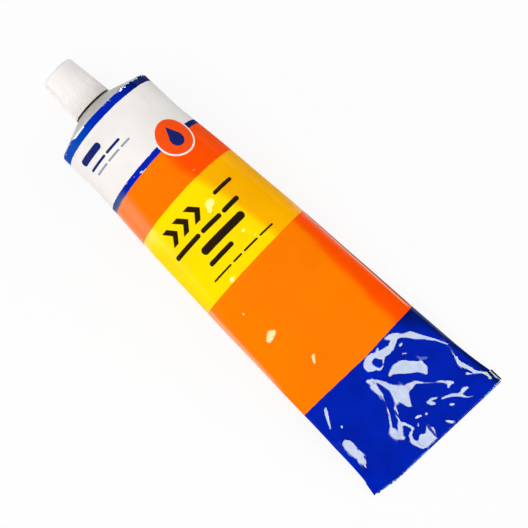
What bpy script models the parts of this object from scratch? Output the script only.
"""Collapsible aluminium tube of hammer drill grease, lying with its printed side up.

The tube is modelled upright on its own axis, with the folded tail at height zero and the
nozzle on top. An empty on that axis then lays it on the ground, where the underside of the
sleeve is pressed flat. Looking along the axis, -Y is the printed front and +Y the underside.
"""

import math

import bmesh
import bpy
from mathutils import Vector

# Sleeve: round at the shoulder, flat at the tail
TUBE_RADIUS = 0.0235
SLEEVE_LENGTH = 0.187
ROUND_START = 0.171
SLEEVE_TAIL_WIDTH = 0.0660
WALL = 0.00025
WIDTH_POWER = 0.72
BULGE_POWER = 1.6

# Crimp: the pressed tail, rolled up twice on the underside, a little out of square
CRIMP_WIDTH = 0.0690
CRIMP_HEIGHT = 0.0065
CRIMP_FLARE = 0.009
CRIMP_SKEW = math.radians(3.1)
FOLD_LAYER = 2 * WALL
FOLD_GAP = 0.00012

# How the tube lies: the ground touches the fold, and is this steep along the tube's axis
LYING_ANGLE = math.radians(8.0)
GROUND_START = 0.00175

# Shoulder and nozzle
EDGE_RADIUS = 0.0008
SHOULDER_RISE = 0.0066
SHOULDER_WALL = 0.0011
NECK_RADIUS = 0.0066
NECK_LENGTH = 0.0125
NECK_CHAMFER = 0.0005
BORE_RADIUS = 0.0042

# Screw cap
CAP_CLEARANCE = 0.0006
CAP_LENGTH = 0.0193
CAP_BASE_RADIUS = 0.00915
CAP_TOP_RADIUS = 0.0075
CAP_EDGE = 0.0007
CAP_RIBS = 64
RIB_DEPTH = 0.00028
CAP_BORE_RADIUS = 0.0070
CAP_TOP_WALL = 0.0015
CORE_RADIUS = 0.0048

# Pieces inside
FIT_GAP = 0.0003
LINER_RADIUS = 0.0065
LINER_THICKNESS = 0.0010
LINER_BEVEL = 0.00015
SEAL_START = 0.0022
SEAL_END = 0.0070
SEAL_HALF_THICKNESS = 0.0005
GREASE_START = 0.0080
GREASE_DROP = 0.0020

# Facets
SIDES = 48
SLEEVE_STEPS = 16
LEAST_STEP = 0.0008
BEND_STEPS = 6
EDGE_STEPS = 3

# Printed bands, from the tail up: upper edge of each and its finish
BANDS = [
    (0.0451, "blue_enamel"),
    (0.1021, "orange_enamel"),
    (0.1403, "yellow_enamel"),
    (0.1571, "orange_enamel"),
    (0.1594, "blue_enamel"),
    (0.1834, "white_enamel"),
    (SLEEVE_LENGTH, "blue_enamel"),
]

# Finish of each material: colour, roughness, metallic
FINISHES = {
    "bare_aluminium": ((0.52, 0.50, 0.45), 0.45, 1.0),
    "blue_enamel": ((0.004, 0.012, 0.40), 0.25, 0.0),
    "orange_enamel": ((1.0, 0.20, 0.0), 0.25, 0.0),
    "yellow_enamel": ((1.0, 0.72, 0.0), 0.25, 0.0),
    "white_enamel": ((0.88, 0.87, 0.84), 0.25, 0.0),
    "cap_plastic": ((0.86, 0.84, 0.79), 0.45, 0.0),
    "liner_foam": ((0.80, 0.80, 0.78), 0.80, 0.0),
    "sealing_latex": ((0.62, 0.48, 0.28), 0.60, 0.0),
    "grease": ((0.55, 0.38, 0.12), 0.20, 0.0),
}

# Heights that follow from the sizes above
NECK_BASE = SLEEVE_LENGTH + SHOULDER_RISE
NECK_TOP = NECK_BASE + NECK_LENGTH
CAP_BASE = NECK_BASE + CAP_CLEARANCE
LINER_BASE = NECK_TOP + FIT_GAP
CAP_CEILING = LINER_BASE + LINER_THICKNESS + FIT_GAP


def clear_scene():
    for old in list(bpy.data.objects):
        bpy.data.objects.remove(old, do_unlink=True)


def add_collection(name):
    collection = bpy.data.collections.new(name)
    bpy.context.scene.collection.children.link(collection)
    return collection


def finish(name):
    """The material of that name, made on first use."""
    if name in bpy.data.materials:
        return bpy.data.materials[name]
    colour, roughness, metallic = FINISHES[name]
    material = bpy.data.materials.new(name)
    material.use_nodes = True
    shader = material.node_tree.nodes["Principled BSDF"]
    shader.inputs["Base Color"].default_value = (*colour, 1.0)
    shader.inputs["Roughness"].default_value = roughness
    shader.inputs["Metallic"].default_value = metallic
    material.diffuse_color = (*colour, 1.0)
    return material


def add_object(name, mesh, collection, parent, height=0.0):
    """Puts a mesh on the tube's axis, with its origin at that height."""
    thing = bpy.data.objects.new(name, mesh)
    thing.parent = parent
    thing.location = (0.0, 0.0, height)
    collection.objects.link(thing)
    return thing


def smooth(mesh, angle=40):
    mesh.shade_smooth()
    mesh.set_sharp_from_angle(angle=math.radians(angle))


def loft(name, rings):
    """A closed mesh through rings of equal count, with both end rings capped."""
    shape = bmesh.new()
    loops = [[shape.verts.new(point) for point in ring] for ring in rings]
    count = len(loops[0])
    for lower, upper in zip(loops, loops[1:]):
        for k in range(count):
            after = (k + 1) % count
            shape.faces.new((lower[k], lower[after], upper[after], upper[k]))
    shape.faces.new(reversed(loops[0]))
    shape.faces.new(loops[-1])
    bmesh.ops.recalc_face_normals(shape, faces=shape.faces)
    mesh = bpy.data.meshes.new(name)
    shape.to_mesh(mesh)
    shape.free()
    smooth(mesh)
    return mesh


def turned(name, profile, steps, collection):
    """A solid of revolution: (radius, height) points down the outer side, spun by a Screw."""
    mesh = bpy.data.meshes.new(name)
    points = [(radius, 0.0, height) for radius, height in profile]
    edges = [(k, k + 1) for k in range(len(points) - 1)]
    mesh.from_pydata(points, edges, [])
    solid = bpy.data.objects.new(name, mesh)
    collection.objects.link(solid)
    screw = solid.modifiers.new("turn", "SCREW")
    screw.steps = steps
    screw.render_steps = steps
    screw.use_merge_vertices = True
    screw.merge_threshold = 1e-6
    return solid


def opened(height):
    """0 at the crimp, 1 from where the sleeve is round."""
    share = (height - CRIMP_HEIGHT) / (ROUND_START - CRIMP_HEIGHT)
    return min(max(share, 0.0), 1.0)


def half_width(height):
    """Half the sleeve's width, with the crimp's corners flaring out."""
    spread = SLEEVE_TAIL_WIDTH / 2 - TUBE_RADIUS
    flare = (CRIMP_WIDTH - SLEEVE_TAIL_WIDTH) / 2
    fade = math.exp(-max(height - CRIMP_HEIGHT, 0.0) / CRIMP_FLARE)
    return TUBE_RADIUS + spread * (1 - opened(height)) ** WIDTH_POWER + flare * fade


def half_thickness(height):
    """Half the sleeve's thickness from front to back, before it is pressed flat below."""
    flat = FOLD_LAYER / 2
    return flat + (TUBE_RADIUS - flat) * (1 - (1 - opened(height)) ** BULGE_POWER)


def squareness(height):
    """Power of the section's outline: 2 for an ellipse, more for the crimp's flat strip."""
    return 2.0 + 4.0 * math.exp(-max(height - CRIMP_HEIGHT, 0.0) / CRIMP_FLARE)


def skewed(x, height):
    """Height of a point after the crimp is turned out of square, which dies out up the sleeve."""
    return height - x * math.tan(CRIMP_SKEW) * (1 - opened(height)) ** 3


def outline(width, thickness, power=2.0):
    """Points round a section of those half sizes, from +X by way of +Y."""
    points = []
    for k in range(SIDES):
        angle = 2 * math.pi * k / SIDES
        across, deep = math.cos(angle), math.sin(angle)
        x = width * math.copysign(abs(across) ** (2 / power), across)
        y = thickness * math.copysign(abs(deep) ** (2 / power), deep)
        points.append((x, y))
    return points


def circle(radius, height):
    return [(x, y, height) for x, y in outline(radius, radius)]


def sleeve_ring(height, inset=0.0, thickest=math.inf):
    """The sleeve's section at a height, moved in from the outer face and held above the ground."""
    width = half_width(height) - inset
    thickness = min(half_thickness(height) - inset, thickest)
    ring = []
    for x, y in outline(width, thickness, squareness(height)):
        z = skewed(x, height)
        ground = GROUND_START + z * math.tan(LYING_ANGLE) - inset
        ring.append((x, min(y, ground), z))
    return ring


def sleeve_heights(start, end):
    """Heights from start to end: closer at both ends, and one at each printed edge."""
    heights = [start, end]
    heights += [edge for edge, _ in BANDS if start < edge < end]
    for k in range(SLEEVE_STEPS + 1):
        share = k / SLEEVE_STEPS
        eased = share * share * (3 - 2 * share)
        height = CRIMP_HEIGHT + (ROUND_START - CRIMP_HEIGHT) * eased
        nearest = min(abs(height - other) for other in heights)
        if start < height < end and nearest > LEAST_STEP:
            heights.append(height)
    return sorted(heights)


def crimp_rings():
    """Sections of the pressed strip: down the tail, round under it, up, and rolled in again."""
    pitch = FOLD_LAYER + FOLD_GAP
    lower = (pitch, FOLD_LAYER / 2 + pitch, pitch)
    upper = (1.5 * pitch, CRIMP_HEIGHT - FOLD_LAYER / 2 - FOLD_GAP - pitch / 2, pitch / 2)
    path = []
    for half_turn, (middle, height, radius) in enumerate((lower, upper)):
        for k in range(BEND_STEPS + 1):
            angle = math.pi * (half_turn + k / BEND_STEPS)
            y = middle - radius * math.cos(angle)
            z = height - radius * math.sin(angle)
            path.append((y, z, angle))
    path.append((pitch, lower[1], 2 * math.pi))
    section = outline(CRIMP_WIDTH / 2, FOLD_LAYER / 2, squareness(0.0))
    rings = []
    for y, z, angle in path:
        across, along = math.cos(angle), math.sin(angle)
        rings.append([(x, y + deep * across, skewed(x, z + deep * along)) for x, deep in section])
    return rings


def shoulder_rings():
    """Outside of the nozzle and shoulder, from the mouth down to the sleeve's edge."""
    rings = [
        circle(NECK_RADIUS - NECK_CHAMFER, NECK_TOP),
        circle(NECK_RADIUS, NECK_TOP - NECK_CHAMFER),
        circle(NECK_RADIUS, NECK_BASE),
    ]
    for k in range(EDGE_STEPS + 1):
        angle = math.pi / 2 * (1 - k / EDGE_STEPS)
        inward = EDGE_RADIUS * (1 - math.cos(angle))
        below = EDGE_RADIUS * (1 - math.sin(angle))
        rings.append(circle(TUBE_RADIUS - inward, SLEEVE_LENGTH - below))
    return rings


def bore_rings(gap, top):
    """Inside of the shoulder and the nozzle bore, from the sleeve up to the given height."""
    return [
        circle(TUBE_RADIUS - WALL - gap, SLEEVE_LENGTH - SHOULDER_WALL - gap),
        circle(BORE_RADIUS - gap, NECK_BASE - SHOULDER_WALL - gap),
        circle(BORE_RADIUS - gap, top),
    ]


def paint_bands(tube):
    """Bare metal everywhere, then each printed band on the outside of the sleeve."""
    mesh = tube.data
    mesh.materials.append(finish("bare_aluminium"))
    slots = {}
    for _, name in BANDS:
        if name not in slots:
            slots[name] = len(mesh.materials)
            mesh.materials.append(finish(name))
    for face in mesh.polygons:
        height = face.center.z
        radial = Vector((face.center.x, face.center.y, 0.0))
        outside = height < CRIMP_HEIGHT or face.normal.dot(radial) > 0
        if outside and height < SLEEVE_LENGTH - EDGE_RADIUS:
            name = next(name for edge, name in BANDS if height < edge)
            face.material_index = slots[name]


def make_tube_body(collection, axis):
    """Sleeve, shoulder, nozzle and folded crimp: one drawn piece, open at the mouth."""
    inner_start = CRIMP_HEIGHT + SEAL_START / 2
    inner_end = SLEEVE_LENGTH - SHOULDER_WALL - EDGE_RADIUS
    inner = [sleeve_ring(height, WALL) for height in sleeve_heights(inner_start, inner_end)]
    outer = [sleeve_ring(height) for height in sleeve_heights(CRIMP_HEIGHT, SLEEVE_LENGTH - EDGE_RADIUS)]
    rings = inner + bore_rings(0.0, NECK_TOP)
    rings += shoulder_rings()[:-1] + outer[::-1] + crimp_rings()
    tube = add_object("tube_body", loft("tube_body", rings), collection, axis)
    paint_bands(tube)
    return tube


def make_tail_seal(collection, axis):
    """Sealing compound pressed into the wedge above the crimp."""
    heights = [CRIMP_HEIGHT + SEAL_START, CRIMP_HEIGHT + SEAL_END]
    rings = [sleeve_ring(height, WALL + FIT_GAP, SEAL_HALF_THICKNESS) for height in heights]
    seal = add_object("tail_seal", loft("tail_seal", rings), collection, axis)
    seal.data.materials.append(finish("sealing_latex"))
    return seal


def make_grease_fill(collection, axis):
    """The grease, from the tail seal up into the nozzle bore."""
    start = CRIMP_HEIGHT + GREASE_START
    end = SLEEVE_LENGTH - SHOULDER_WALL - EDGE_RADIUS - FIT_GAP
    rings = [sleeve_ring(height, WALL + FIT_GAP) for height in sleeve_heights(start, end)]
    rings += bore_rings(FIT_GAP, NECK_TOP - GREASE_DROP)
    grease = add_object("grease_fill", loft("grease_fill", rings), collection, axis)
    grease.data.materials.append(finish("grease"))
    return grease


def ribbed_ring(radius, depth, height):
    """A round section with a flat-topped rib on every other quarter step."""
    points = []
    steps = 4 * CAP_RIBS
    for k in range(steps):
        angle = 2 * math.pi * k / steps
        reach = radius if k % 4 < 2 else radius - depth
        points.append((reach * math.cos(angle), reach * math.sin(angle), height))
    return points


def make_screw_cap(collection, cutters, axis):
    """Tapered ribbed cap, cored out for the nozzle, the liner and a thin top."""
    rings = [
        ribbed_ring(CAP_BASE_RADIUS - CAP_EDGE / 2, 0.0, 0.0),
        ribbed_ring(CAP_BASE_RADIUS, RIB_DEPTH, CAP_EDGE / 2),
        ribbed_ring(CAP_TOP_RADIUS, RIB_DEPTH, CAP_LENGTH - CAP_EDGE),
        ribbed_ring(CAP_TOP_RADIUS - CAP_EDGE / 3, RIB_DEPTH / 2, CAP_LENGTH - CAP_EDGE / 3),
        ribbed_ring(CAP_TOP_RADIUS - CAP_EDGE, 0.0, CAP_LENGTH),
    ]
    cap = add_object("screw_cap", loft("screw_cap", rings), collection, axis, CAP_BASE)
    cap.data.materials.append(finish("cap_plastic"))
    ceiling = CAP_CEILING - CAP_BASE
    core_top = CAP_LENGTH - CAP_TOP_WALL
    mouth = CAP_BORE_RADIUS + NECK_CHAMFER
    profile = [
        (0.0, core_top),
        (CORE_RADIUS, core_top),
        (CORE_RADIUS, ceiling),
        (CAP_BORE_RADIUS, ceiling),
        (CAP_BORE_RADIUS, NECK_CHAMFER),
        (mouth, 0.0),
        (mouth, -CAP_CLEARANCE),
        (0.0, -CAP_CLEARANCE),
    ]
    core = turned("cap_core", profile, SIDES, cutters)
    core.parent = cap
    core.hide_render = True
    core.display_type = "WIRE"
    cut = cap.modifiers.new("core", "BOOLEAN")
    cut.operation = "DIFFERENCE"
    cut.object = core
    return cap


def make_cap_liner(collection, axis):
    """Soft disc between the cap's ceiling and the nozzle mouth."""
    shape = bmesh.new()
    bmesh.ops.create_cone(
        shape,
        cap_ends=True,
        segments=SIDES,
        radius1=LINER_RADIUS,
        radius2=LINER_RADIUS,
        depth=LINER_THICKNESS,
    )
    mesh = bpy.data.meshes.new("cap_liner")
    shape.to_mesh(mesh)
    shape.free()
    smooth(mesh)
    liner = add_object("cap_liner", mesh, collection, axis, LINER_BASE + LINER_THICKNESS / 2)
    mesh.materials.append(finish("liner_foam"))
    bevel = liner.modifiers.new("rounded_edge", "BEVEL")
    bevel.width = LINER_BEVEL
    bevel.segments = 1
    return liner


def lay_down(axis, pieces):
    """Turns the axis so that the underside meets the ground, and centres the tube over the origin."""
    axis.rotation_euler = (LYING_ANGLE - math.pi / 2, 0.0, 0.0)
    axis.location = (0.0, 0.0, GROUND_START * math.cos(LYING_ANGLE))
    bpy.context.view_layer.update()
    reach = []
    for piece in pieces:
        reach += [(piece.matrix_world @ vertex.co).y for vertex in piece.data.vertices]
    axis.location.y = -(min(reach) + max(reach)) / 2


def main():
    clear_scene()
    collection = add_collection("grease_tube")
    cutters = add_collection("cutters")
    axis = bpy.data.objects.new("tube_axis", None)
    axis.empty_display_type = "SINGLE_ARROW"
    axis.empty_display_size = SLEEVE_LENGTH
    collection.objects.link(axis)
    pieces = [
        make_tube_body(collection, axis),
        make_tail_seal(collection, axis),
        make_grease_fill(collection, axis),
        make_screw_cap(collection, cutters, axis),
        make_cap_liner(collection, axis),
    ]
    lay_down(axis, pieces)
    bpy.context.view_layer.update()
    for name, height in (("neck_base", NECK_BASE), ("neck_top", NECK_TOP)):
        print(name, tuple(axis.matrix_world @ Vector((0.0, 0.0, height))))


main()
